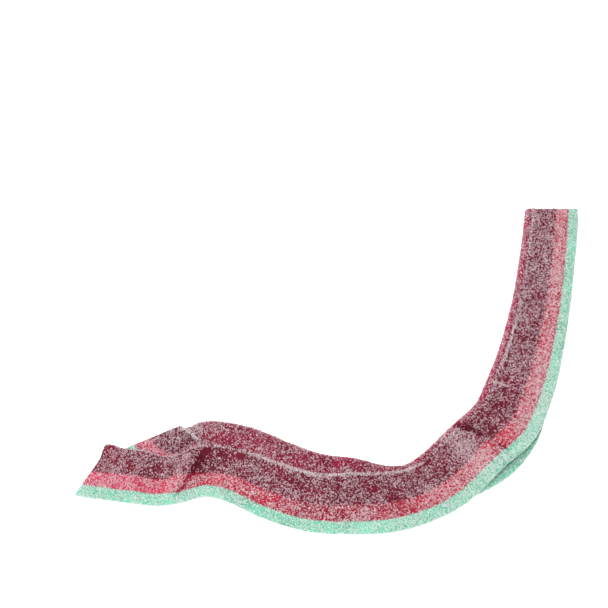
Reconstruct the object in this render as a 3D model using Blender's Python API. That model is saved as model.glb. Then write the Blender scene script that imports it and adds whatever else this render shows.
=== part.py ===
"""Sour watermelon belt: a long flat gummy strap with five lengthwise stripes.

The strap is folded in half along a crease near its middle and lies on its side in an open
J shape. At its left end the two halves have parted along the crease: the near half runs
straight on and the far half turns away underneath it.

A point of the strap is named by two lengths, both in millimetres. "along" runs from the
left end to the right end, measured on the near edge. On the near half, which lies on top,
"inward" runs from the near edge to the crease. On the far half, which is folded under,
"outward" runs from the crease to the far edge.
"""
import math

import bmesh
import bpy
from mathutils import Vector

MM = 0.001

# Driving dimensions, in millimetres.
THICKNESS = 2.3
STRIPE_GAP = 0.3
STRAP_WIDTH = 36.5
GREEN_WIDTH = 3.7
RED_WIDTH = 5.2
HALF_THICKNESS = THICKNESS / 2
HALF_WIDTH = STRAP_WIDTH / 2
HALF_GAP = STRIPE_GAP / 2
MAROON_START = GREEN_WIDTH + RED_WIDTH

# The near edge of the strap, from the left end to the right end: its place on the table,
# how far it is lifted, how far in from it the crease is, how wide the flat top of the fold
# is, the radius of the fold, and how far the far half is drawn out beyond its own width.
# CENTRE is the middle of the whole belt in the same x and y, and becomes the origin.
NEAR_EDGE = [
    # x, y, lift, crease, plateau, radius, drawn
    (-80.0, -46.2, 0.0, 15.8, 5.0, 2.3, -2.0),
    (-70.5, -47.7, 0.0, 15.8, 5.0, 2.3, -2.0),
    (-61.5, -49.2, 0.5, 16.0, 5.0, 2.3, -2.0),
    (-54.6, -50.4, 1.6, 15.4, 5.0, 2.3, -2.0),
    (-48.6, -49.8, 2.6, 14.8, 5.2, 2.3, -2.0),
    (-41.8, -47.8, 2.9, 15.0, 6.6, 2.3, -2.0),
    (-35.2, -48.8, 1.8, 15.5, 6.2, 2.5, -1.0),
    (-24.5, -53.5, 0.3, 16.2, 5.5, 2.7, 0.0),
    (-11.5, -57.6, 0.0, 16.4, 4.9, 2.7, 0.0),
    (2.0, -58.7, 0.3, 17.2, 3.4, 2.4, -1.0),
    (14.5, -58.6, 1.9, 17.6, 0.9, 1.9, -2.0),
    (25.5, -55.5, 2.6, 17.0, 0.6, 1.4, -1.0),
    (36.0, -49.6, 2.6, 17.6, 0.6, 1.35, 2.0),
    (47.5, -38.2, 2.6, 17.5, 0.6, 1.35, 6.0),
    (57.5, -28.8, 2.6, 18.1, 0.6, 1.35, 5.8),
    (64.2, -15.0, 2.6, 17.9, 0.6, 1.35, 3.8),
    (69.0, 1.0, 2.6, 16.6, 0.6, 1.35, 1.4),
    (73.4, 20.5, 2.6, 15.4, 0.6, 1.35, -0.6),
    (76.8, 40.0, 2.6, 14.7, 0.6, 1.35, -1.2),
    (79.1, 56.0, 2.6, 14.3, 0.6, 1.35, -1.6),
]
CENTRE = (-0.078, -1.215)
HEADING_SPAN = 10.0
FOLD_TILT = 5.0

# The ends: how much longer the near edge is than the crease, because of slanted cuts.
# Then the left end: where the halves part, how the far half slips back, uncurls (and how
# evenly) and swings away from there, the room left between two of its stripes where it is
# turned most, the height at which the near half rests on it, and where that stops.
LEFT_SLANT = 6.0
RIGHT_SLANT = 2.0
PARTING = 38.5
SLIP_PLATEAU = 0.3
SLIP_RADIUS = 1.6
SLIP_SHIFT = (-4.0, 6.0)
UNCURL_SHIFT = (-3.0, 3.6)
UNCURL_STEADY = 0.45
UNCURL_TILT = 172.0
SWING = 66.0
TURN_ROOM = 1.2
TURN_PLACE = 36.0
TURN_SPAN = 8.0
FLAP_REST = 4.3
FLAP_LOW = 14.0

# Wrinkles pressed into the near half: where each crosses the crease and the near edge,
# how high it stands, and how far it fades out to its left and to its right.
WRINKLES = [
    # along at crease, along at edge, height, fade left, fade right
    (38.5, 28.0, 2.4, 7.0, 4.0),
    (44.5, 36.0, -1.2, 4.0, 8.0),
    (135.0, 139.5, 1.5, 8.0, 3.0),
    (148.0, 152.0, 0.6, 2.4, 2.0),
]

ROWS = 112
NEAR_STEPS = {
    "green_near": [0.0, 0.5, 1.0],
    "red_near": [0.0, 0.5, 1.0],
    "maroon_centre": [0.0, 0.3, 0.6, 0.85, 1.0],
}
FAR_STEPS = {
    "maroon_centre": [0.0, 0.06, 0.13, 0.2, 0.27, 0.34, 0.41, 0.52, 0.67, 0.83, 1.0],
    "red_far": [0.0, 0.33, 0.67, 1.0],
    "green_far": [0.0, 0.5, 1.0],
}

COLOURS = {
    "green_near": (0.30, 0.66, 0.50),
    "red_near": (0.43, 0.13, 0.16),
    "maroon_centre": (0.22, 0.07, 0.10),
    "red_far": (0.43, 0.13, 0.16),
    "green_far": (0.30, 0.66, 0.50),
}


def fade(value):
    """Ease from 0 to 1 with level ends."""
    value = min(max(value, 0.0), 1.0)
    return value * value * (3.0 - 2.0 * value)


def running_lengths():
    """Return the running length at each point of NEAR_EDGE."""
    lengths = [0.0]
    for before, after in zip(NEAR_EDGE, NEAR_EDGE[1:]):
        lengths.append(lengths[-1] + math.dist(before[:2], after[:2]))
    return lengths


LENGTHS = running_lengths()
LENGTH = LENGTHS[-1]


def edge_values(along):
    """Interpolate the rows of NEAR_EDGE smoothly; past an end, run straight on."""
    inside = min(max(along, 0.0), LENGTH)
    index = 0
    while index < len(LENGTHS) - 2 and inside > LENGTHS[index + 1]:
        index += 1
    first = max(index - 1, 0)
    last = min(index + 2, len(LENGTHS) - 1)
    step = LENGTHS[index + 1] - LENGTHS[index]
    t = (inside - LENGTHS[index]) / step
    values = []
    for column in range(len(NEAR_EDGE[0])):
        a = NEAR_EDGE[index][column]
        b = NEAR_EDGE[index + 1][column]
        slope_a = (b - NEAR_EDGE[first][column]) / (LENGTHS[index + 1] - LENGTHS[first]) * step
        slope_b = (NEAR_EDGE[last][column] - a) / (LENGTHS[last] - LENGTHS[index]) * step
        value = a * (2 * t ** 3 - 3 * t ** 2 + 1) + b * (3 * t ** 2 - 2 * t ** 3)
        value += slope_a * (t ** 3 - 2 * t ** 2 + t) + slope_b * (t ** 3 - t ** 2)
        if column < 2 and along != inside:
            slope = slope_a if along < 0.0 else slope_b
            value += slope / step * (along - inside)
        values.append(value)
    return values


def away_from_edge(along):
    """Level direction from the near edge towards the crease."""
    ahead = edge_values(along + HEADING_SPAN)
    behind = edge_values(along - HEADING_SPAN)
    heading = Vector((ahead[0] - behind[0], ahead[1] - behind[1], 0.0)).normalized()
    return Vector((-heading.y, heading.x, 0.0))


def near_width(along):
    """Width of the near half, from its edge to the crease."""
    return edge_values(along)[3]


def far_width(along):
    """Width of the far half, from the crease to its edge."""
    values = edge_values(max(along, PARTING))
    return STRAP_WIDTH - values[3]


def crease_height(along, plateau, radius):
    """Height of the near half's inner edge: on the fold, or left of the parting, resting."""
    tilt = math.radians(FOLD_TILT)
    whole = HALF_THICKNESS + radius * (1.0 + math.cos(tilt)) + plateau * math.sin(tilt)
    if along >= PARTING:
        return whole
    height = whole + (FLAP_REST - whole) * fade((PARTING - along) / 9.0)
    return height + (HALF_THICKNESS - height) * fade((FLAP_LOW - along) / 10.0)


def near_line(along):
    """Return the near edge, the way in from it, the level reach and the rise to the crease."""
    x, y, lift, width, plateau, radius, drawn = edge_values(along)
    edge = Vector((x - CENTRE[0], y - CENTRE[1], HALF_THICKNESS + max(lift, 0.0)))
    rise = crease_height(along, plateau, radius) - edge.z
    reach = math.sqrt(width ** 2 - rise ** 2)
    return edge, away_from_edge(along), width, reach, rise


def near_point(along, inward):
    """Middle surface of the near half."""
    edge, away, width, reach, rise = near_line(along)
    share = inward / width
    point = edge + away * reach * share
    bellied = 1.0 - (1.0 - share) ** 2
    point.z += rise * (share + (bellied - share) * fade((PARTING - along) / 10.0))
    for at_crease, at_edge, height, left, right in WRINKLES:
        side = along - at_edge - (at_crease - at_edge) * share
        fading = left if side < 0.0 else right
        hump = math.exp(-2.0 * (side / fading) ** 2)
        point.z += height * hump * math.sin(math.pi * fade(0.12 + share * 0.76))
    return point


def fold_offset(outward, plateau, radius, tilt):
    """Distance away and distance down along the far half, from the crease.

    The far half runs almost level for the plateau, then round the fold, then back along
    the table. tilt is how far its first stretch leans down.
    """
    turn = math.pi - tilt
    first = min(outward, plateau)
    out = first * math.cos(tilt)
    down = first * math.sin(tilt)
    if outward > plateau:
        angle = min((outward - plateau) / radius, turn)
        out += radius * (math.sin(tilt + angle) - math.sin(tilt))
        down += radius * (math.cos(tilt) - math.cos(tilt + angle))
        out -= max(outward - plateau - radius * turn, 0.0)
    return out, down


def far_point(along, outward):
    """Middle surface of the far half."""
    held = max(along, PARTING)
    x, y, lift, width, plateau, radius, drawn = edge_values(held)
    edge, away, width, reach, rise = near_line(held)
    origin = edge + away * reach
    tilt = math.radians(FOLD_TILT)
    outward *= 1.0 + drawn / HALF_WIDTH * fade(outward / HALF_WIDTH)
    if along < PARTING:
        part = (PARTING - along) / PARTING
        slip = math.sin(math.pi / 2 * min(part / 0.5, 1.0))
        uncurl = fade(part * 1.05)
        moved = uncurl + UNCURL_STEADY * (part - uncurl)
        plateau += (SLIP_PLATEAU - plateau) * slip
        radius += (SLIP_RADIUS - radius) * slip
        tilt += (math.radians(UNCURL_TILT) - tilt) * uncurl
        origin += Vector((*SLIP_SHIFT, 0.0)) * slip + Vector((*UNCURL_SHIFT, 0.0)) * moved
        swing = math.radians(-SWING * fade(part))
        turned_x = away.x * math.cos(swing) - away.y * math.sin(swing)
        turned_y = away.x * math.sin(swing) + away.y * math.cos(swing)
        away = Vector((turned_x, turned_y, 0.0))
    out, down = fold_offset(outward, plateau, radius, tilt)
    lowest = radius * (1.0 + math.cos(tilt)) + plateau * math.sin(tilt)
    point = origin + away * out
    point.z = HALF_THICKNESS + lowest - down
    return point


def end_slant(along, inward_share):
    """Move a place along the strap so that the rows follow the slanted cuts of its ends."""
    if along < PARTING:
        start = LEFT_SLANT * inward_share
        return start + (PARTING - start) * along / PARTING
    return along - RIGHT_SLANT * inward_share * fade((along - LENGTH) / 20.0 + 1.0)


def near_place(name, share, step):
    """Point of the near half's middle surface; share runs along it, step across a stripe."""
    along = share * LENGTH
    width = near_width(along)
    first, last = {
        "green_near": (0.0, GREEN_WIDTH - HALF_GAP),
        "red_near": (GREEN_WIDTH + HALF_GAP, MAROON_START - HALF_GAP),
        "maroon_centre": (MAROON_START + HALF_GAP, width),
    }[name]
    inward_share = (first + (last - first) * step) / width
    along = end_slant(along, inward_share)
    return near_point(along, inward_share * near_width(along))


def far_place(name, share, step):
    """Point of the far half's middle surface; share runs along it, step across a stripe."""
    along = share * LENGTH
    width = far_width(along)
    room = TURN_ROOM * math.exp(-((along - TURN_PLACE) / TURN_SPAN) ** 2)
    first, last = {
        "maroon_centre": (0.0, width - MAROON_START - HALF_GAP - room),
        "red_far": (width - MAROON_START + HALF_GAP, width - GREEN_WIDTH - HALF_GAP),
        "green_far": (width - GREEN_WIDTH + HALF_GAP, width),
    }[name]
    outward = first + (last - first) * step
    if along > PARTING:
        along = end_slant(along, 1.0 - outward / width)
    return far_point(along, outward)


def square_to(place, name, share, step):
    """Direction square to the middle surface, from small steps along and across it."""
    small = 0.002
    off_corner = max(step, 0.03)
    before = place(name, max(share - small, 0.0), off_corner)
    after = place(name, min(share + small, 1.0), off_corner)
    inner = place(name, share, max(step - small, 0.0))
    outer = place(name, share, min(step + small, 1.0))
    return (after - before).cross(outer - inner).normalized()


def stripe_point(name, row, column, side):
    """Point on the upper (side 1) or lower (side -1) face of a stripe's solid."""
    near_steps = NEAR_STEPS.get(name, [])
    far_steps = FAR_STEPS.get(name, [])
    share = row / ROWS
    square = Vector((0.0, 0.0, 0.0))
    crease = len(near_steps) - 1
    if near_steps and column < crease + 0.1:
        step = near_steps[round(column)]
        middle = near_place(name, share, step)
        square += square_to(near_place, name, share, step)
    if far_steps and column > crease - 0.1:
        step = far_steps[round(column) - max(crease, 0)]
        middle = far_place(name, share, step)
        square += square_to(far_place, name, share, step)
    return middle + square.normalized() * HALF_THICKNESS * side


def part_halves(grid, crease):
    """Cut the grid open along the crease, left of where the halves part."""
    cut = []
    for edge in grid.edges:
        on_crease = all(abs(end.co.y - crease) < 0.1 for end in edge.verts)
        if on_crease and max(end.co.x for end in edge.verts) < PARTING / LENGTH * ROWS:
            cut.append(edge)
    bmesh.ops.split_edges(grid, edges=cut)
    for vertex in grid.verts:
        middles = [face.calc_center_median().y for face in vertex.link_faces]
        if abs(vertex.co.y - crease) < 0.1 and max(middles) < crease:
            vertex.co.y -= 0.2
        elif abs(vertex.co.y - crease) < 0.1 and min(middles) > crease:
            vertex.co.y += 0.2


def make_stripe(name):
    """Make one stripe: a grid, extruded to two faces and laid on the folded strap."""
    near_count = len(NEAR_STEPS.get(name, []))
    far_count = len(FAR_STEPS.get(name, []))
    joined = near_count > 0 and far_count > 0
    columns = near_count + far_count - 1 - int(joined)

    bpy.ops.mesh.primitive_grid_add(x_subdivisions=ROWS, y_subdivisions=columns, size=1.0)
    stripe = bpy.context.object
    stripe.name = name
    stripe.data.name = name
    grid = bmesh.new()
    grid.from_mesh(stripe.data)
    for vertex in grid.verts:
        vertex.co.x = round((vertex.co.x + 0.5) * ROWS)
        vertex.co.y = round((vertex.co.y + 0.5) * columns)
        vertex.co.z = 1.0
    if joined:
        part_halves(grid, near_count - 1)
    copy = bmesh.ops.extrude_face_region(grid, geom=grid.faces[:])["geom"]
    for vertex in copy:
        if isinstance(vertex, bmesh.types.BMVert):
            vertex.co.z = -1.0
    for vertex in grid.verts:
        vertex.co = stripe_point(name, vertex.co.x, vertex.co.y, vertex.co.z) * MM
    bmesh.ops.recalc_face_normals(grid, faces=grid.faces[:])
    bmesh.ops.triangulate(grid, faces=grid.faces[:], quad_method="SHORT_EDGE")
    grid.to_mesh(stripe.data)
    grid.free()
    return stripe


def add_material(obj, colour):
    """Give the object its own slightly glossy gummy material."""
    material = bpy.data.materials.new(obj.name)
    material.use_nodes = True
    shader = material.node_tree.nodes["Principled BSDF"]
    shader.inputs["Base Color"].default_value = (*colour, 1.0)
    shader.inputs["Roughness"].default_value = 0.55
    shader.inputs["Metallic"].default_value = 0.0
    obj.data.materials.append(material)


def main():
    for obj in list(bpy.data.objects):
        bpy.data.objects.remove(obj, do_unlink=True)

    belt = bpy.data.collections.new("watermelon_belt")
    bpy.context.scene.collection.children.link(belt)
    for name, colour in COLOURS.items():
        stripe = make_stripe(name)
        add_material(stripe, colour)
        for collection in list(stripe.users_collection):
            collection.objects.unlink(stripe)
        belt.objects.link(stripe)


main()
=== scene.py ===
"""Sour watermelon belt: a folded, sugar-coated gummy strap on a white table."""
import math

import bmesh
import bpy
import numpy as np
from bpy.props import FloatProperty, FloatVectorProperty, IntProperty, PointerProperty
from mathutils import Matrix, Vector, noise


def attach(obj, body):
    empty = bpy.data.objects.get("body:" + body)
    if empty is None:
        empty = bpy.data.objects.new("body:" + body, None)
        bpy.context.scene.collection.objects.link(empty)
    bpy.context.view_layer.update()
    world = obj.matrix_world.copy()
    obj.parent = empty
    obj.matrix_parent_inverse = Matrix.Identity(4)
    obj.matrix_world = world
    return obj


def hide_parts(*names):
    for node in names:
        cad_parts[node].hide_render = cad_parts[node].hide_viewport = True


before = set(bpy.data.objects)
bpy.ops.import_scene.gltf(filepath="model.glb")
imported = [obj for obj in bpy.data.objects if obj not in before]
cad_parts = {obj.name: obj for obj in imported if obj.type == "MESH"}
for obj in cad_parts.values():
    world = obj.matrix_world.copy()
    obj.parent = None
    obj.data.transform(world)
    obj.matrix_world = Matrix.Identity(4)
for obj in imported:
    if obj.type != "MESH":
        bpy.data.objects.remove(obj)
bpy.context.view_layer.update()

bl_info = {
    "name": "Sour Watermelon Belt",
    "version": (1, 0, 0),
    "blender": (4, 5, 0),
    "location": "3D View > Sidebar > Sour Belt",
    "description": "Makes a striped gummy belt, folded lengthwise and coated in sugar",
    "category": "Add Mesh",
}

MM = 0.001
NODES = ("green_near", "red_near", "maroon_centre", "red_far", "green_far")

# The strap, in millimetres. "along" runs from its left end to its right end. On the near
# half, which lies on top, "inward" runs from the near edge to the crease. On the far half,
# which is folded under, "outward" runs from the crease to the far edge.
HALF_THICKNESS = 1.15
STRAP_WIDTH = 36.5
HALF_WIDTH = STRAP_WIDTH / 2
GREEN_WIDTH = 3.7
RED_WIDTH = 5.2

# The near edge, from the left end to the right end: its place on the table, how far it is
# lifted, how far in from it the crease is, how wide the flat top of the fold is, the radius
# of the fold, and how far the far half is drawn out beyond its own width.
NEAR_EDGE = [
    # x, y, lift, crease, plateau, radius, drawn
    (-80.0, -46.2, 0.0, 15.8, 5.0, 2.3, -2.0),
    (-70.5, -47.7, 0.0, 15.8, 5.0, 2.3, -2.0),
    (-61.5, -49.2, 0.5, 16.0, 5.0, 2.3, -2.0),
    (-54.6, -50.4, 1.6, 15.4, 5.0, 2.3, -2.0),
    (-48.6, -49.8, 2.6, 14.8, 5.2, 2.3, -2.0),
    (-41.8, -47.8, 2.9, 15.0, 6.6, 2.3, -2.0),
    (-35.2, -48.8, 1.8, 15.5, 6.2, 2.5, -1.0),
    (-24.5, -53.5, 0.3, 16.2, 5.5, 2.7, 0.0),
    (-11.5, -57.6, 0.0, 16.4, 4.9, 2.7, 0.0),
    (2.0, -58.7, 0.3, 17.2, 3.4, 2.4, -1.0),
    (14.5, -58.6, 1.9, 17.6, 0.9, 1.9, -2.0),
    (25.5, -55.5, 2.6, 17.0, 0.6, 1.4, -1.0),
    (36.0, -49.6, 2.6, 17.6, 0.6, 1.35, 2.0),
    (47.5, -38.2, 2.6, 17.5, 0.6, 1.35, 6.0),
    (57.5, -28.8, 2.6, 18.1, 0.6, 1.35, 5.8),
    (64.2, -15.0, 2.6, 17.9, 0.6, 1.35, 3.8),
    (69.0, 1.0, 2.6, 16.6, 0.6, 1.35, 1.4),
    (73.4, 20.5, 2.6, 15.4, 0.6, 1.35, -0.6),
    (76.8, 40.0, 2.6, 14.7, 0.6, 1.35, -1.2),
    (79.1, 56.0, 2.6, 14.3, 0.6, 1.35, -1.6),
]
CENTRE = (-0.078, -1.215)
HEADING_SPAN = 10.0
FOLD_TILT = 5.0

# The ends: how much longer the near edge is than the crease, where the halves part at the
# left, and how the far half slips back, uncurls and swings away from there.
LEFT_SLANT = 6.0
RIGHT_SLANT = 2.0
PARTING = 38.5
SLIP_PLATEAU = 0.3
SLIP_RADIUS = 1.6
SLIP_SHIFT = (-4.0, 6.0)
UNCURL_SHIFT = (-3.0, 3.6)
UNCURL_STEADY = 0.45
UNCURL_TILT = 172.0
SWING = 66.0
FLAP_REST = 4.3
FLAP_LOW = 14.0

# Wrinkles pressed into the near half, the first less high than in the solids because its
# crest is sharpened below.
WRINKLES = [
    # along at crease, along at edge, height, fade left, fade right
    (38.5, 28.0, 1.55, 7.0, 4.0),
    (44.5, 36.0, -1.2, 4.0, 8.0),
    (135.0, 139.5, 1.5, 8.0, 3.0),
    (148.0, 152.0, 0.6, 2.4, 2.0),
]

# Sharper buckles in the upper face of the near half: where each crosses the crease and the
# near edge, how high it stands, and how far it fades out to its left and to its right.
BUCKLES = [
    # along at crease, along at edge, height, fade left, fade right
    (39.0, 27.5, 0.8, 3.2, 0.7),
    (42.0, 31.5, -0.55, 1.4, 4.5),
    (136.0, 141.1, 0.35, 4.5, 0.4),
    (137.5, 142.6, -1.1, 0.5, 2.8),
    (164.0, 163.5, 0.2, 0.5, 0.4),
]

# Lines pressed into the gummy, which hold little sugar and carry painted shade: they are
# darkened where they lie in the valleys beside the left ridge and the kink.
SHADED_BARE_LINES = [
    # along at crease, along at edge, first and last share of the width, fade left,
    # fade right, depth
    (136.5, 141.7, 0.1, 1.2, 0.3, 1.2, 1.0),
    (40.2, 28.7, 0.1, 1.0, 0.4, 1.8, 0.5),
]

# How plainly sugar lines the crease, along the strap.
CREASE_SUGAR = [
    # along, share
    (38.0, 0.3),
    (46.0, 0.5),
    (52.0, 1.0),
    (108.0, 1.0),
    (120.0, 0.25),
    (168.0, 0.2),
    (174.0, 0.9),
    (188.0, 0.9),
    (196.0, 0.3),
]

# Places where sugar has gathered or rubbed off, and by how much.
SUGAR_PATCHES = [
    # along, across, reach along, reach across, gain
    (34.0, 9.0, 4.0, 8.0, 0.9),
    (47.5, 15.5, 3.0, 2.5, -0.7),
    (132.2, 11.0, 3.4, 9.0, 2.4),
    (118.0, 6.3, 12.0, 2.4, 0.5),
    (165.0, 6.3, 20.0, 2.4, 0.8),
    (208.0, 6.3, 24.0, 2.4, 0.9),
    (143.5, 12.0, 4.5, 7.0, -0.55),
    (142.5, 1.4, 5.0, 0.5, 2.5),
    (164.0, 16.2, 0.35, 2.2, 8.0),
    (206.0, 13.0, 26.0, 9.0, 0.35),
    (166.0, 2.0, 26.0, 5.0, 0.9),
]

# How much more or less sugar than usual there is along the crease, on the parted end, on
# each colour, in the pressed lines and where the fold turns down.
CREASE_GAIN = 7.5
CREASE_REACH = 0.24
PARTED_GAIN = 1.3
RED_GAIN = 0.3
GREEN_GAIN = 0.9
PRESSED_LOSS = 3.0
TURNING_LOSS = 0.6
TURNING_FROM = 75.0
SUGAR_LIMITS = (0.08, 8.5)

# How the loose corner of the flap at the left end is bent: along x, y and z.
CORNER_CURL = (-0.2, 0.9, 1.5)

# How far the edges between the stripes wander, in millimetres.
WAVINESS = 0.5

# Colours of the gummy and its sugar, as linear values; the rose is a painted glow of light
# shining through the fold's rounded rim.
GREEN = (0.15, 0.50, 0.345)
RED = (0.40, 0.014, 0.040)
MAROON = (0.125, 0.004, 0.017)
DEEP_RED = (0.22, 0.007, 0.024)
PINK = (0.48, 0.04, 0.10)
ROSE_RIM_GLOW = (0.40, 0.022, 0.075)
GREEN_SUGAR = (0.86, 0.93, 0.89)
RED_SUGAR = (0.92, 0.72, 0.77)
MAROON_SUGAR = (0.84, 0.63, 0.69)
CREASE_WHITE = (0.95, 0.88, 0.90)


def fade(value):
    """Ease from 0 to 1 with level ends."""
    value = min(max(value, 0.0), 1.0)
    return value * value * (3.0 - 2.0 * value)


def running_lengths():
    """Return the running length at each point of NEAR_EDGE."""
    lengths = [0.0]
    for before, after in zip(NEAR_EDGE, NEAR_EDGE[1:]):
        lengths.append(lengths[-1] + math.dist(before[:2], after[:2]))
    return lengths


LENGTHS = running_lengths()
LENGTH = LENGTHS[-1]


def edge_values(along):
    """Interpolate the rows of NEAR_EDGE smoothly; past an end, run straight on."""
    inside = min(max(along, 0.0), LENGTH)
    index = 0
    while index < len(LENGTHS) - 2 and inside > LENGTHS[index + 1]:
        index += 1
    first = max(index - 1, 0)
    last = min(index + 2, len(LENGTHS) - 1)
    step = LENGTHS[index + 1] - LENGTHS[index]
    t = (inside - LENGTHS[index]) / step
    values = []
    for column in range(len(NEAR_EDGE[0])):
        a = NEAR_EDGE[index][column]
        b = NEAR_EDGE[index + 1][column]
        slope_a = (b - NEAR_EDGE[first][column]) / (LENGTHS[index + 1] - LENGTHS[first]) * step
        slope_b = (NEAR_EDGE[last][column] - a) / (LENGTHS[last] - LENGTHS[index]) * step
        value = a * (2 * t ** 3 - 3 * t ** 2 + 1) + b * (3 * t ** 2 - 2 * t ** 3)
        value += slope_a * (t ** 3 - 2 * t ** 2 + t) + slope_b * (t ** 3 - t ** 2)
        if column < 2 and along != inside:
            slope = slope_a if along < 0.0 else slope_b
            value += slope / step * (along - inside)
        values.append(value)
    return values


def away_from_edge(along):
    """Level direction from the near edge towards the crease."""
    ahead = edge_values(along + HEADING_SPAN)
    behind = edge_values(along - HEADING_SPAN)
    heading = Vector((ahead[0] - behind[0], ahead[1] - behind[1], 0.0)).normalized()
    return Vector((-heading.y, heading.x, 0.0))


def near_width(along):
    """Width of the near half, from its edge to the crease."""
    return edge_values(along)[3]


def far_width(along):
    """Width of the far half, from the crease to its edge."""
    return STRAP_WIDTH - edge_values(max(along, PARTING))[3]


def crease_height(along, plateau, radius):
    """Height of the near half's inner edge: on the fold, or left of the parting, resting."""
    tilt = math.radians(FOLD_TILT)
    whole = HALF_THICKNESS + radius * (1.0 + math.cos(tilt)) + plateau * math.sin(tilt)
    if along >= PARTING:
        return whole
    height = whole + (FLAP_REST - whole) * fade((PARTING - along) / 9.0)
    return height + (HALF_THICKNESS - height) * fade((FLAP_LOW - along) / 10.0)


def near_line(along):
    """Return the near edge, the way in from it, the level reach and the rise to the crease."""
    x, y, lift, width, plateau, radius, drawn = edge_values(along)
    edge = Vector((x - CENTRE[0], y - CENTRE[1], HALF_THICKNESS + max(lift, 0.0)))
    rise = crease_height(along, plateau, radius) - edge.z
    return edge, away_from_edge(along), width, math.sqrt(width ** 2 - rise ** 2), rise


def near_point(along, inward):
    """Middle surface of the near half."""
    edge, away, width, reach, rise = near_line(along)
    share = inward / width
    point = edge + away * reach * share
    bellied = 1.0 - (1.0 - share) ** 2
    point.z += rise * (share + (bellied - share) * fade((PARTING - along) / 10.0))
    for at_crease, at_edge, height, left, right in WRINKLES:
        side = along - at_edge - (at_crease - at_edge) * share
        fading = left if side < 0.0 else right
        hump = math.exp(-2.0 * (side / fading) ** 2)
        point.z += height * hump * math.sin(math.pi * fade(0.12 + share * 0.76))
    return point


def fold_offset(outward, plateau, radius, tilt):
    """Distance away and distance down along the far half, from the crease."""
    turn = math.pi - tilt
    first = min(outward, plateau)
    out = first * math.cos(tilt)
    down = first * math.sin(tilt)
    if outward > plateau:
        angle = min((outward - plateau) / radius, turn)
        out += radius * (math.sin(tilt + angle) - math.sin(tilt))
        down += radius * (math.cos(tilt) - math.cos(tilt + angle))
        out -= max(outward - plateau - radius * turn, 0.0)
    return out, down


def far_point(along, outward):
    """Middle surface of the far half."""
    held = max(along, PARTING)
    x, y, lift, width, plateau, radius, drawn = edge_values(held)
    edge, away, width, reach, rise = near_line(held)
    origin = edge + away * reach
    tilt = math.radians(FOLD_TILT)
    outward *= 1.0 + drawn / HALF_WIDTH * fade(outward / HALF_WIDTH)
    if along < PARTING:
        part = (PARTING - along) / PARTING
        slip = math.sin(math.pi / 2 * min(part / 0.5, 1.0))
        uncurl = fade(part * 1.05)
        moved = uncurl + UNCURL_STEADY * (part - uncurl)
        plateau += (SLIP_PLATEAU - plateau) * slip
        radius += (SLIP_RADIUS - radius) * slip
        tilt += (math.radians(UNCURL_TILT) - tilt) * uncurl
        origin += Vector((*SLIP_SHIFT, 0.0)) * slip + Vector((*UNCURL_SHIFT, 0.0)) * moved
        swing = math.radians(-SWING * fade(part))
        turned_x = away.x * math.cos(swing) - away.y * math.sin(swing)
        turned_y = away.x * math.sin(swing) + away.y * math.cos(swing)
        away = Vector((turned_x, turned_y, 0.0))
    out, down = fold_offset(outward, plateau, radius, tilt)
    lowest = radius * (1.0 + math.cos(tilt)) + plateau * math.sin(tilt)
    point = origin + away * out
    point.z = HALF_THICKNESS + lowest - down
    return point


def end_slant(along, inward_share):
    """Move a place along the strap so that the rows follow the slanted cuts of its ends."""
    if along < PARTING:
        start = LEFT_SLANT * inward_share
        return start + (PARTING - start) * along / PARTING
    return along - RIGHT_SLANT * inward_share * fade((along - LENGTH) / 20.0 + 1.0)


def near_place(share, step):
    """Point of the near half's middle surface; share runs along it, step to the crease."""
    along = end_slant(share * LENGTH, step)
    return near_point(along, step * near_width(along))


def far_place(share, step):
    """Point of the far half's middle surface; share runs along it, step to the far edge."""
    along = share * LENGTH
    outward = far_width(along) * step
    if along > PARTING:
        along = end_slant(along, 1.0 - step)
    return far_point(along, outward)


def round_off(distance, reach, blunt):
    """Share of the full thickness at a distance from an edge with rounded corners."""
    t = np.clip(distance / reach, 0.0, 1.0)
    return blunt + (1.0 - blunt) * np.sqrt(1.0 - (1.0 - t) ** 2)


def relief(along, across):
    """How far the upper face stands out from its even thickness, in millimetres."""
    share = across / HALF_WIDTH
    from_crease = across - HALF_WIDTH
    height = 0.17 * crease_sugar(along) * math.exp(-((from_crease / 0.4) ** 2))
    height -= 0.12 * math.exp(-(((from_crease - 1.1) / 0.8) ** 2))
    height -= 0.14 * math.exp(-(((from_crease + 1.3) / 0.9) ** 2))
    if along < PARTING + 2.0:
        height = 0.0
    if share <= 1.0:
        for at_crease, at_edge, rise, left, right in BUCKLES:
            off = along - at_edge - (at_crease - at_edge) * share
            fading = left if off < 0.0 else right
            over = math.sin(math.pi * fade(0.1 + share * 0.8))
            height += rise * over * math.exp(-((off / fading) ** 2))
    return height


def crease_sugar(along):
    """How plainly sugar lines the crease, from 0 to 1, at places along the strap."""
    return np.interp(along, *zip(*CREASE_SUGAR))


def shade_and_bare(along, across):
    """How much painted shade darkens the gummy, and how bare of sugar it is, along the lines
    pressed into it, from 0 to 1.
    """
    share = across / HALF_WIDTH
    most = 0.0
    for at_crease, at_edge, first, last, left, right, depth in SHADED_BARE_LINES:
        off = along - at_edge - (at_crease - at_edge) * share
        fading = np.where(off < 0.0, left, right)
        ending = np.clip((share - first) / 0.1, 0.0, 1.0)
        ending = ending * np.clip((last - share) / 0.05, 0.0, 1.0)
        most = np.maximum(most, depth * ending * np.exp(-((off / fading) ** 2)))
    return most


def lump(point, size, seed):
    """Smooth noise from -1 to 1 at a point given in millimetres."""
    return noise.noise(point / size + Vector((seed, 2.0 * seed, -seed)))


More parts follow.
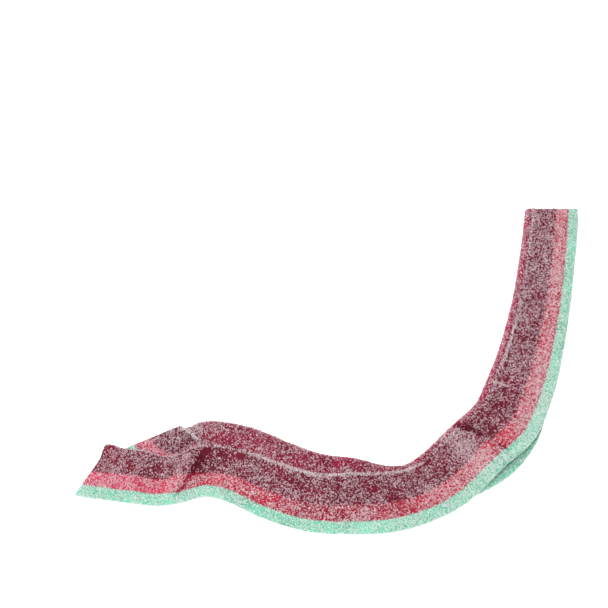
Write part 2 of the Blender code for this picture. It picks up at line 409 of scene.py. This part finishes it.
class Strap:
    """The strap's middle surface and faces as arrays of points, in millimetres."""

    def __init__(self, settings):
        rows = settings.rows
        spread = np.linspace(0.0, 1.0, rows - 5)
        ends = np.array([0.0004, 0.001, 0.0018])
        self.shares = np.sort(np.concatenate([spread, ends, 1.0 - ends]))
        edge_steps = [0.0, 0.006, 0.016, 0.03, 0.048]
        self.near_steps = edge_steps + list(np.linspace(0.07, 1.0, 29))
        far_edge = [1.0 - step for step in reversed(edge_steps)]
        self.far_steps = list(np.linspace(0.0, 0.93, 37)) + far_edge
        self.crease = len(self.near_steps) - 1
        near = [[near_place(s, t) for t in self.near_steps] for s in self.shares]
        far = [[far_place(s, t) for t in self.far_steps] for s in self.shares]
        self.near = np.array([[tuple(p) for p in row] for row in near])
        self.far = np.array([[tuple(p) for p in row] for row in far])
        self.parted = self.shares * LENGTH < PARTING
        self.near_square = self.squares(self.near)
        self.far_square = self.squares(self.far)
        self.share_crease()
        self.near_half = self.half_thickness(settings, near=True)
        self.far_half = self.half_thickness(settings, near=False)

    @staticmethod
    def squares(points):
        """Directions square to a grid of points."""
        along = np.gradient(points, axis=0)
        along[:, 0] = along[:, 1]
        across = np.gradient(points, axis=1)
        square = np.cross(along, across)
        return square / np.linalg.norm(square, axis=2, keepdims=True)

    def share_crease(self):
        """Give both halves the same square direction where they are joined."""
        joined = ~self.parted
        both = self.near_square[joined, -1] + self.far_square[joined, 0]
        both /= np.linalg.norm(both, axis=1, keepdims=True)
        self.near_square[joined, -1] = both
        self.far_square[joined, 0] = both

    def half_thickness(self, settings, near):
        """Half of the thickness at each point, thinner at the rounded edges."""
        full = settings.gummy_thickness / MM / 2.0
        steps = np.array(self.near_steps if near else self.far_steps)
        width = HALF_WIDTH
        to_edge = steps * width if near else (1.0 - steps) * width
        to_crease = (1.0 - steps) * width if near else steps * width
        to_end = np.minimum(self.shares, 1.0 - self.shares) * LENGTH
        half = np.ones((len(self.shares), len(steps))) * full
        half *= round_off(to_edge, settings.edge_radius / MM, 0.5)[None, :]
        half *= round_off(to_end, 0.4, 0.8)[:, None]
        torn = round_off(to_crease, 0.6, 0.6)[None, :]
        return np.where(self.parted[:, None], half * torn, half)

    def place(self, row, column, side):
        """Point on the upper (side 1) or lower (side -1) face, and its attributes, among them
        the painted glow on the fold's rim.
        """
        on_near = column < self.crease + 0.1
        if on_near:
            grid, squares, halves = self.near, self.near_square, self.near_half
            index = round(column)
            across = self.near_steps[index] * HALF_WIDTH
        else:
            grid, squares, halves = self.far, self.far_square, self.far_half
            index = round(column) - self.crease
            across = HALF_WIDTH + self.far_steps[index] * HALF_WIDTH
        middle = Vector(grid[row, index])
        square = Vector(squares[row, index])
        point = middle + square * (halves[row, index] * side)
        wave = 0.07 * lump(middle, 5.0, 3.0) + 0.05 * side * lump(point, 2.2, 9.0)
        if side > 0.0:
            wave += relief(self.shares[row] * LENGTH, across)
        point += square * wave
        if on_near and self.parted[row]:
            corner = fade((across / HALF_WIDTH - 0.75) * 4.0)
            corner *= math.exp(-(((self.shares[row] * LENGTH - 1.5) / 3.5) ** 2))
            point += Vector(CORNER_CURL) * corner
        point.z = max(point.z, 0.12)
        # Painted glow: on the far half, where the fold's rounded rim turns sideways, a rose
        # tint stands in for light shining through the gummy.
        folding = 0.3 + 0.7 * fade((0.96 - square.z) / 0.45)
        painted_rim_glow = 0.0 if on_near or self.parted[row] else folding * fade(square.z / 0.3 + 1.0)
        return point, self.shares[row] * LENGTH, across, painted_rim_glow


def deselect():
    """Clear the selection before a modelling call."""
    for obj in bpy.context.selected_objects:
        obj.select_set(False)


def make_strap(settings):
    """Make the strap: a grid parted at its crease, extruded to two faces and laid out."""
    strap = Strap(settings)
    rows = len(strap.shares) - 1
    columns = len(strap.near_steps) + len(strap.far_steps) - 2
    deselect()
    bpy.ops.mesh.primitive_grid_add(x_subdivisions=rows, y_subdivisions=columns, size=1.0)
    obj = bpy.context.object
    obj.name = "gummy_strap"
    obj.data.name = "gummy_strap"
    grid = bmesh.new()
    grid.from_mesh(obj.data)
    for vertex in grid.verts:
        row = round((vertex.co.x + 0.5) * rows)
        column = round((vertex.co.y + 0.5) * columns)
        vertex.co = (row, column, 1.0)
    part_halves(grid, strap)
    copy = bmesh.ops.extrude_face_region(grid, geom=grid.faces[:])["geom"]
    for vertex in copy:
        if isinstance(vertex, bmesh.types.BMVert):
            vertex.co.z = -1.0
    along_layer = grid.verts.layers.float.new("along")
    across_layer = grid.verts.layers.float.new("across")
    side_layer = grid.verts.layers.float.new("side")
    painted_rim_glow_layer = grid.verts.layers.float.new("painted_rim_glow")
    shade_and_bare_layer = grid.verts.layers.float.new("shade_and_bare")
    for vertex in grid.verts:
        side = vertex.co.z
        point, along, across, painted_rim_glow = strap.place(round(vertex.co.x), vertex.co.y, side)
        vertex.co = point * MM
        vertex[along_layer] = along
        vertex[across_layer] = across
        vertex[side_layer] = side
        vertex[painted_rim_glow_layer] = painted_rim_glow
        vertex[shade_and_bare_layer] = float(shade_and_bare(along, across)) * (side > 0.0)
    bmesh.ops.recalc_face_normals(grid, faces=grid.faces[:])
    grid.to_mesh(obj.data)
    grid.free()
    deselect()
    obj.select_set(True)
    bpy.context.view_layer.objects.active = obj
    bpy.ops.object.shade_smooth_by_angle(angle=math.radians(60.0))
    return obj


def part_halves(grid, strap):
    """Cut the grid open along the crease, left of where the halves part."""
    crease = strap.crease
    last = int(np.count_nonzero(strap.parted))
    cut = []
    for edge in grid.edges:
        on_crease = all(abs(end.co.y - crease) < 0.1 for end in edge.verts)
        if on_crease and max(end.co.x for end in edge.verts) < last + 0.1:
            cut.append(edge)
    bmesh.ops.split_edges(grid, edges=cut)
    for vertex in grid.verts:
        middles = [face.calc_center_median().y for face in vertex.link_faces]
        if abs(vertex.co.y - crease) < 0.1 and min(middles) > crease:
            vertex.co.y += 0.2


def sugar_gain(along, across, points):
    """How much sugar lies at each point, 1 being usual."""
    patchy = np.array([noise.noise(Vector(p) / 2.6) for p in points])
    broad = np.array([noise.noise(Vector(p) / 9.0 + Vector((5.0, 1.0, 2.0))) for p in points])
    gain = 1.0 + 1.1 * patchy + 0.6 * broad
    lining = np.exp(-((across - HALF_WIDTH) / CREASE_REACH) ** 2)
    gain += CREASE_GAIN * crease_sugar(along) * lining
    gain += PARTED_GAIN * (along < PARTING) * (across > HALF_WIDTH)
    gain += RED_GAIN * np.exp(-((across - GREEN_WIDTH - RED_WIDTH / 2) / 2.2) ** 2)
    for from_edge in (across, STRAP_WIDTH - across):
        gain += GREEN_GAIN * np.clip((GREEN_WIDTH + 0.3 - from_edge) / 0.6, 0.0, 1.0)
    gain -= PRESSED_LOSS * shade_and_bare(along, across)
    turning = np.exp(-((across - HALF_WIDTH - 7.0) / 3.0) ** 2)
    gain -= TURNING_LOSS * turning * (along > TURNING_FROM)
    for at, over, reach_along, reach_across, extra in SUGAR_PATCHES:
        away = ((along - at) / reach_along) ** 2 + ((across - over) / reach_across) ** 2
        gain += extra * np.exp(-away)
    return np.clip(gain, *SUGAR_LIMITS)


def scatter(strap, name, count, faces, size, rng):
    """Scatter crystals over some of the strap's triangles and return them as one object."""
    mesh = strap.data
    total = len(mesh.vertices)
    co = np.empty(total * 3)
    mesh.vertices.foreach_get("co", co)
    co = co.reshape(-1, 3) / MM
    values = {}
    for key in ("along", "across"):
        values[key] = np.empty(total)
        mesh.attributes[key].data.foreach_get("value", values[key])
    corners = co[faces]
    cross = np.cross(corners[:, 1] - corners[:, 0], corners[:, 2] - corners[:, 0])
    area = np.linalg.norm(cross, axis=1) / 2.0
    gain = sugar_gain(
        values["along"][faces].mean(axis=1),
        values["across"][faces].mean(axis=1),
        corners.mean(axis=1),
    )
    weight = area * gain
    picked = rng.choice(len(faces), size=count, p=weight / weight.sum())
    a = rng.random(count)
    b = rng.random(count)
    flip = a + b > 1.0
    a[flip] = 1.0 - a[flip]
    b[flip] = 1.0 - b[flip]
    share = np.stack([1.0 - a - b, a, b], axis=1)
    centre = (corners[picked] * share[:, :, None]).sum(axis=1)
    across = (values["across"][faces[picked]] * share).sum(axis=1)
    outward = cross[picked] / np.linalg.norm(cross[picked], axis=1)[:, None]
    return build_crystals(name, centre, outward, across, size, rng)


def random_turns(count, rng):
    """Random rotation matrices."""
    q = rng.normal(size=(count, 4))
    q /= np.linalg.norm(q, axis=1)[:, None]
    w, x, y, z = q.T
    rows = [
        [1 - 2 * (y * y + z * z), 2 * (x * y - z * w), 2 * (x * z + y * w)],
        [2 * (x * y + z * w), 1 - 2 * (x * x + z * z), 2 * (y * z - x * w)],
        [2 * (x * z - y * w), 2 * (y * z + x * w), 1 - 2 * (x * x + y * y)],
    ]
    return np.array(rows).transpose(2, 0, 1)


def build_crystals(name, centre, outward, across, size, rng):
    """Build one mesh of many small eight-faced crystals, half sunk into the gummy."""
    count = len(centre)
    deselect()
    bpy.ops.mesh.primitive_cube_add(size=1.0)
    obj = bpy.context.object
    obj.name = name
    grain = bmesh.new()
    bmesh.ops.create_uvsphere(grain, u_segments=4, v_segments=2, radius=0.5)
    grain.to_mesh(obj.data)
    grain.free()
    block = np.array([tuple(vertex.co) for vertex in obj.data.vertices])
    sides_of_block = np.array([tuple(face.vertices) for face in obj.data.polygons])
    corners = len(block)
    loops = sides_of_block.size

    length = size * np.clip(rng.lognormal(-0.08, 0.32, count), 0.45, 1.9)
    sides = np.stack([length, length * rng.uniform(0.75, 1.0, count)], axis=1)
    sides = np.column_stack([sides, length * rng.uniform(0.6, 0.95, count)])
    shape = block[None, :, :] * sides[:, None, :]
    shape = shape + rng.uniform(-0.08, 0.08, (count, corners, 3)) * length[:, None, None]
    turned = np.einsum("nij,nkj->nki", random_turns(count, rng), shape)
    proud = length * rng.uniform(-0.08, 0.22, count)
    points = turned + (centre + outward * proud[:, None])[:, None, :]
    sunk = np.minimum(points[:, :, 2].min(axis=1), 0.0)
    points[:, :, 2] -= sunk[:, None]

    mesh = bpy.data.meshes.new(name)
    mesh.vertices.add(count * corners)
    mesh.vertices.foreach_set("co", (points * MM).ravel())
    indices = sides_of_block[None, :, :] + (np.arange(count) * corners)[:, None, None]
    mesh.loops.add(count * loops)
    mesh.loops.foreach_set("vertex_index", indices.ravel())
    mesh.polygons.add(count * len(sides_of_block))
    mesh.polygons.foreach_set("loop_start", np.arange(count * len(sides_of_block)) * 3)
    mesh.update(calc_edges=True)
    tint = mesh.attributes.new("across", "FLOAT", "POINT")
    tint.data.foreach_set("value", np.repeat(across, corners))
    own = mesh.attributes.new("own", "FLOAT", "POINT")
    own.data.foreach_set("value", np.repeat(rng.random(count), corners))
    single = obj.data
    obj.data = mesh
    bpy.data.meshes.remove(single)
    return obj


def triangles_of(mesh):
    """Return the mesh's triangles, which half and face of the strap each is on."""
    mesh.calc_loop_triangles()
    faces = np.empty(len(mesh.loop_triangles) * 3, dtype=np.int32)
    mesh.loop_triangles.foreach_get("vertices", faces)
    faces = faces.reshape(-1, 3)
    values = {}
    for key in ("along", "across", "side"):
        values[key] = np.empty(len(mesh.vertices))
        mesh.attributes[key].data.foreach_get("value", values[key])
    return faces, {key: value[faces].mean(axis=1) for key, value in values.items()}


class Tree:
    """Short calls for building a material's nodes."""

    def __init__(self, name):
        self.material = bpy.data.materials.new(name)
        self.material.use_nodes = True
        self.nodes = self.material.node_tree.nodes
        self.shader = self.nodes["Principled BSDF"]

    def link(self, source, target):
        self.material.node_tree.links.new(source, target)

    def add(self, kind, **inputs):
        node = self.nodes.new(kind)
        for key, value in inputs.items():
            socket = node.inputs[key.replace("_", " ")]
            if isinstance(value, bpy.types.NodeSocket):
                self.link(value, socket)
            else:
                socket.default_value = value
        return node

    def attribute(self, name):
        node = self.nodes.new("ShaderNodeAttribute")
        node.attribute_name = name
        return node.outputs["Fac"]

    def object_noise(self, scale, detail, roughness=0.5):
        coords = self.nodes.new("ShaderNodeTexCoord").outputs["Object"]
        node = self.add("ShaderNodeTexNoise", Vector=coords, Scale=scale, Detail=detail)
        node.inputs["Roughness"].default_value = roughness
        return node.outputs["Fac"]

    def math(self, operation, first, second):
        node = self.nodes.new("ShaderNodeMath")
        node.operation = operation
        for socket, value in zip(node.inputs, (first, second)):
            if isinstance(value, bpy.types.NodeSocket):
                self.link(value, socket)
            else:
                socket.default_value = value
        return node.outputs[0]

    def ramp(self, factor, stops):
        node = self.add("ShaderNodeValToRGB", Fac=factor)
        elements = node.color_ramp.elements
        while len(elements) < len(stops):
            elements.new(1.0)
        for element, (position, colour) in zip(elements, stops):
            element.position = position
            element.color = (*colour, 1.0)
        return node.outputs["Color"]

    def mix(self, factor, first, second, blend="MIX"):
        node = self.nodes.new("ShaderNodeMix")
        node.data_type = "RGBA"
        node.blend_type = blend
        for index, value in ((0, factor), (6, first), (7, second)):
            if isinstance(value, bpy.types.NodeSocket):
                self.link(value, node.inputs[index])
            elif index == 0:
                node.inputs[index].default_value = value
            else:
                node.inputs[index].default_value = (*value, 1.0)
        return node.outputs[2]


def stripe_colour(tree, green, red, maroon):
    """Colour of the stripes from the distance across the strap."""
    wave = tree.math("SUBTRACT", tree.object_noise(260.0, 2.0), 0.5)
    across = tree.math("ADD", tree.attribute("across"), tree.math("MULTIPLY", wave, WAVINESS))
    share = tree.math("DIVIDE", across, STRAP_WIDTH)
    soft = 0.18 / STRAP_WIDTH
    first = GREEN_WIDTH / STRAP_WIDTH
    second = (GREEN_WIDTH + RED_WIDTH) / STRAP_WIDTH
    stops = [
        (first - soft, green),
        (first + soft, red),
        (second - soft, red),
        (second + soft, maroon),
        (1.0 - second - soft, maroon),
        (1.0 - second + soft, red),
        (1.0 - first - soft, red),
        (1.0 - first + soft, green),
    ]
    return tree.ramp(share, stops)


def gummy_material(settings):
    """Moist, translucent gummy with a dusting of fine sugar, with painted shade in the pressed
    lines and a painted rose glow on the fold's rim.
    """
    tree = Tree("sugared_gummy")
    green, red, maroon = settings.green, settings.red, settings.maroon
    colour = stripe_colour(tree, green, red, maroon)
    deep = stripe_colour(tree, green, DEEP_RED, maroon)
    pink = stripe_colour(tree, green, PINK, maroon)
    none = (0.0, 0.0, 0.0)
    most = (0.8, 0.8, 0.8)
    share = tree.math("DIVIDE", tree.attribute("along"), LENGTH)
    # The red stripes turn a darker red over the middle of the strap.
    middle = tree.ramp(share, [(0.2, none), (0.28, most), (0.4, most), (0.48, none)])
    colour = tree.mix(middle, colour, deep)
    end = tree.ramp(share, [(0.05, most), (0.15, none)])
    colour = tree.mix(end, colour, pink)
    # Painted glow of light through the fold's rim, in rose.
    colour = tree.mix(tree.math("MULTIPLY", tree.attribute("painted_rim_glow"), 0.8), colour, ROSE_RIM_GLOW)
    cloudy = [(0.3, (0.72, 0.72, 0.72)), (0.7, (1.2, 1.2, 1.2))]
    cloud = tree.ramp(tree.object_noise(180.0, 3.0), cloudy)
    colour = tree.mix(1.0, colour, cloud, "MULTIPLY")
    grainy = [(0.47, (0.0, 0.0, 0.0)), (0.66, (1.0, 1.0, 1.0))]
    grain = tree.ramp(tree.object_noise(4200.0, 2.0, 0.6), grainy)
    sugar = stripe_colour(tree, GREEN_SUGAR, RED_SUGAR, MAROON_SUGAR)
    colour = tree.mix(tree.math("MULTIPLY", grain, 0.03), colour, sugar)
    # Painted shade: darken the lines in the valleys beside the left ridge and the kink.
    dark = tree.math("MULTIPLY", tree.attribute("shade_and_bare"), 0.75)
    colour = tree.mix(dark, colour, (0.3, 0.2, 0.25), "MULTIPLY")
    shader = tree.shader
    tree.link(colour, shader.inputs["Base Color"])
    shader.inputs["Roughness"].default_value = 0.5
    shader.inputs["IOR"].default_value = 1.45
    shader.inputs["Specular IOR Level"].default_value = 0.07
    shader.inputs["Subsurface Weight"].default_value = 0.35
    shader.inputs["Subsurface Radius"].default_value = (1.0, 0.35, 0.35)
    shader.inputs["Subsurface Scale"].default_value = 0.0012
    bump = tree.add("ShaderNodeBump", Height=tree.object_noise(2600.0, 3.0), Strength=0.35)
    bump.inputs["Distance"].default_value = 0.00015
    tree.link(bump.outputs["Normal"], shader.inputs["Normal"])
    return tree.material


def sugar_material(settings):
    """Pale crystals that take on some of the colour beneath them."""
    tree = Tree("sugar_crystals")
    below = stripe_colour(tree, settings.green, settings.red, settings.maroon)
    above = stripe_colour(tree, GREEN_SUGAR, RED_SUGAR, MAROON_SUGAR)
    place = tree.math("DIVIDE", tree.attribute("across"), STRAP_WIDTH)
    dark = (0.0, 0.0, 0.0)
    lining = tree.ramp(place, [(0.488, dark), (0.5, (0.8, 0.8, 0.8)), (0.512, dark)])
    above = tree.mix(lining, above, CREASE_WHITE)
    share = tree.math("MULTIPLY", tree.attribute("own"), 0.45)
    share = tree.math("ADD", share, 0.5)
    colour = tree.mix(share, below, above)
    shader = tree.shader
    tree.link(colour, shader.inputs["Base Color"])
    shader.inputs["Roughness"].default_value = 0.28
    shader.inputs["IOR"].default_value = 1.54
    shader.inputs["Transmission Weight"].default_value = 0.2
    return tree.material


def make_sugar(settings, strap):
    """Scatter the sugar: a piece for each face of each half."""
    rng = np.random.default_rng(settings.seed)
    faces, at = triangles_of(strap.data)
    near = at["across"] < HALF_WIDTH
    upper = at["side"] > -0.99
    groups = (
        ("sugar_near_top", near & upper, 24800),
        ("sugar_near_top_fine", near & upper, 24800),
        ("sugar_fold", ~near & upper, 24000),
        ("sugar_fold_fine", ~near & upper, 13500),
        ("sugar_near_under", near & ~upper, 12000),
        ("sugar_far_inner", ~near & ~upper, 21000),
    )
    material = sugar_material(settings)
    for name, wanted, count in groups:
        size = settings.sugar_size / MM * (0.75 if "fine" in name else 1.0)
        piece = scatter(strap, name, count, faces[wanted], size, rng)
        piece.data.materials.append(material)
        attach(piece, "root")


def area_light(name, place, target, size, power):
    """Add a square white area light aimed at a point."""
    data = bpy.data.lights.new(name, "AREA")
    data.energy = power
    data.size = size
    light = bpy.data.objects.new(name, data)
    light.location = place
    light.rotation_euler = (Vector(target) - Vector(place)).to_track_quat("-Z", "Y").to_euler()
    bpy.context.collection.objects.link(light)


def make_floor():
    """Add the plain white table."""
    deselect()
    bpy.ops.mesh.primitive_plane_add(size=6.0)
    floor = bpy.context.object
    floor.name = "white_table"
    tree = Tree("white_table")
    shades = [(0.0, (0.9, 0.9, 0.9)), (1.0, (0.92, 0.92, 0.92))]
    shade = tree.ramp(tree.object_noise(40.0, 2.0), shades)
    tree.link(shade, tree.shader.inputs["Base Color"])
    tree.shader.inputs["Roughness"].default_value = 0.7
    tree.shader.inputs["Emission Color"].default_value = (1.0, 1.0, 1.0, 1.0)
    tree.shader.inputs["Emission Strength"].default_value = 0.75
    floor.data.materials.append(tree.material)


def make_camera(settings):
    """Add the camera, looking down on the table from the front."""
    target = Vector((settings.target_x, settings.target_y, 0.0))
    lean = settings.camera_elevation
    back = Vector((0.0, -math.cos(lean), math.sin(lean))) * settings.camera_distance
    data = bpy.data.cameras.new("camera")
    data.lens = settings.camera_lens
    data.sensor_width = 36.0
    data.clip_start = 0.01
    camera = bpy.data.objects.new("camera", data)
    camera.location = target + back
    camera.rotation_euler = (math.pi / 2.0 - lean, 0.0, 0.0)
    bpy.context.collection.objects.link(camera)
    bpy.context.scene.camera = camera


class BeltSettings(bpy.types.PropertyGroup):
    """What can be changed about the belt and its view."""

    gummy_thickness: FloatProperty(
        name="Gummy Thickness",
        description="Thickness of the gummy under its sugar",
        default=0.0020,
        min=0.0010,
        max=0.0023,
        unit="LENGTH",
        precision=4,
    )
    edge_radius: FloatProperty(
        name="Edge Radius",
        description="How far in from the long edges the gummy is rounded",
        default=0.0009,
        min=0.0002,
        max=0.0020,
        unit="LENGTH",
        precision=4,
    )
    rows: IntProperty(
        name="Rows",
        description="Rows of faces along the strap",
        default=470,
        min=120,
        max=600,
    )
    green: FloatVectorProperty(
        name="Green",
        description="Colour of the two green stripes",
        subtype="COLOR",
        default=GREEN,
        min=0.0,
        max=1.0,
    )
    red: FloatVectorProperty(
        name="Red",
        description="Colour of the two red stripes",
        subtype="COLOR",
        default=RED,
        min=0.0,
        max=1.0,
    )
    maroon: FloatVectorProperty(
        name="Maroon",
        description="Colour of the wide middle stripe",
        subtype="COLOR",
        default=MAROON,
        min=0.0,
        max=1.0,
    )
    sugar_size: FloatProperty(
        name="Sugar Size",
        description="Usual length of a sugar crystal",
        default=0.00042,
        min=0.0002,
        max=0.0008,
        unit="LENGTH",
        precision=5,
    )
    seed: IntProperty(
        name="Seed",
        description="Start of the random placing of the sugar",
        default=7,
        min=0,
    )
    camera_distance: FloatProperty(
        name="Camera Distance",
        description="Distance from the camera to the point it looks at",
        default=0.4636,
        min=0.1,
        max=2.0,
        unit="LENGTH",
    )
    camera_elevation: FloatProperty(
        name="Camera Elevation",
        description="How far above the table the camera looks from",
        default=math.radians(58.0),
        min=0.0,
        max=math.pi / 2.0,
        unit="ROTATION",
    )
    camera_lens: FloatProperty(
        name="Lens",
        description="Focal length of the camera",
        default=85.0,
        min=20.0,
        max=200.0,
        unit="CAMERA",
    )
    target_x: FloatProperty(
        name="Target X",
        description="Point on the table that the camera looks at",
        default=-0.011922,
        unit="LENGTH",
    )
    target_y: FloatProperty(
        name="Target Y",
        description="Point on the table that the camera looks at",
        default=0.022715,
        unit="LENGTH",
    )


class BELT_OT_make_strap(bpy.types.Operator):
    """Make the folded gummy strap"""

    bl_idname = "belt.make_strap"
    bl_label = "Make Strap"
    bl_options = {"REGISTER", "UNDO"}

    def execute(self, context):
        strap = make_strap(context.scene.belt)
        strap.data.materials.append(gummy_material(context.scene.belt))
        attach(strap, "root")
        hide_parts(*NODES)
        return {"FINISHED"}


class BELT_OT_add_sugar(bpy.types.Operator):
    """Coat the strap in sugar crystals"""

    bl_idname = "belt.add_sugar"
    bl_label = "Add Sugar"
    bl_options = {"REGISTER", "UNDO"}

    def execute(self, context):
        strap = bpy.data.objects.get("gummy_strap")
        if strap is None:
            raise RuntimeError("Make the strap first")
        make_sugar(context.scene.belt, strap)
        return {"FINISHED"}


class BELT_OT_set_stage(bpy.types.Operator):
    """Add the table, the studio lights and the camera"""

    bl_idname = "belt.set_stage"
    bl_label = "Set Stage"
    bl_options = {"REGISTER", "UNDO"}

    def execute(self, context):
        settings = context.scene.belt
        make_floor()
        area_light("overhead", (-0.25, 0.15, 0.9), (0.0, 0.0, 0.0), 0.9, 8.5)
        area_light("left_key", (-0.7, 0.1, 0.5), (0.0, -0.01, 0.0), 0.35, 4.2)
        area_light("front_fill", (0.35, -0.75, 0.4), (0.02, -0.04, 0.0), 0.6, 4.5)
        world = bpy.data.worlds.new("studio")
        world.use_nodes = True
        background = world.node_tree.nodes["Background"]
        background.inputs["Color"].default_value = (1.0, 1.0, 1.0, 1.0)
        background.inputs["Strength"].default_value = 0.3
        context.scene.world = world
        context.scene.view_settings.view_transform = "Standard"
        make_camera(settings)
        return {"FINISHED"}


class BELT_PT_sidebar(bpy.types.Panel):
    """Sidebar panel with the belt's settings and operators"""

    bl_label = "Sour Watermelon Belt"
    bl_idname = "BELT_PT_sidebar"
    bl_space_type = "VIEW_3D"
    bl_region_type = "UI"
    bl_category = "Sour Belt"

    def draw(self, context):
        settings = context.scene.belt
        layout = self.layout
        column = layout.column(align=True)
        for name in ("gummy_thickness", "edge_radius", "rows", "green", "red", "maroon"):
            column.prop(settings, name)
        layout.operator("belt.make_strap")
        column = layout.column(align=True)
        for name in ("sugar_size", "seed"):
            column.prop(settings, name)
        layout.operator("belt.add_sugar")
        column = layout.column(align=True)
        for name in ("camera_distance", "camera_elevation", "camera_lens"):
            column.prop(settings, name)
        for name in ("target_x", "target_y"):
            column.prop(settings, name)
        layout.operator("belt.set_stage")


CLASSES = (
    BeltSettings,
    BELT_OT_make_strap,
    BELT_OT_add_sugar,
    BELT_OT_set_stage,
    BELT_PT_sidebar,
)


def register():
    for cls in CLASSES:
        bpy.utils.register_class(cls)
    bpy.types.Scene.belt = PointerProperty(type=BeltSettings)


def unregister():
    del bpy.types.Scene.belt
    for cls in reversed(CLASSES):
        bpy.utils.unregister_class(cls)


def main():
    """Make everything."""
    register()
    bpy.ops.belt.make_strap()
    bpy.ops.belt.add_sugar()
    bpy.ops.belt.set_stage()


if __name__ == "__main__":
    main()
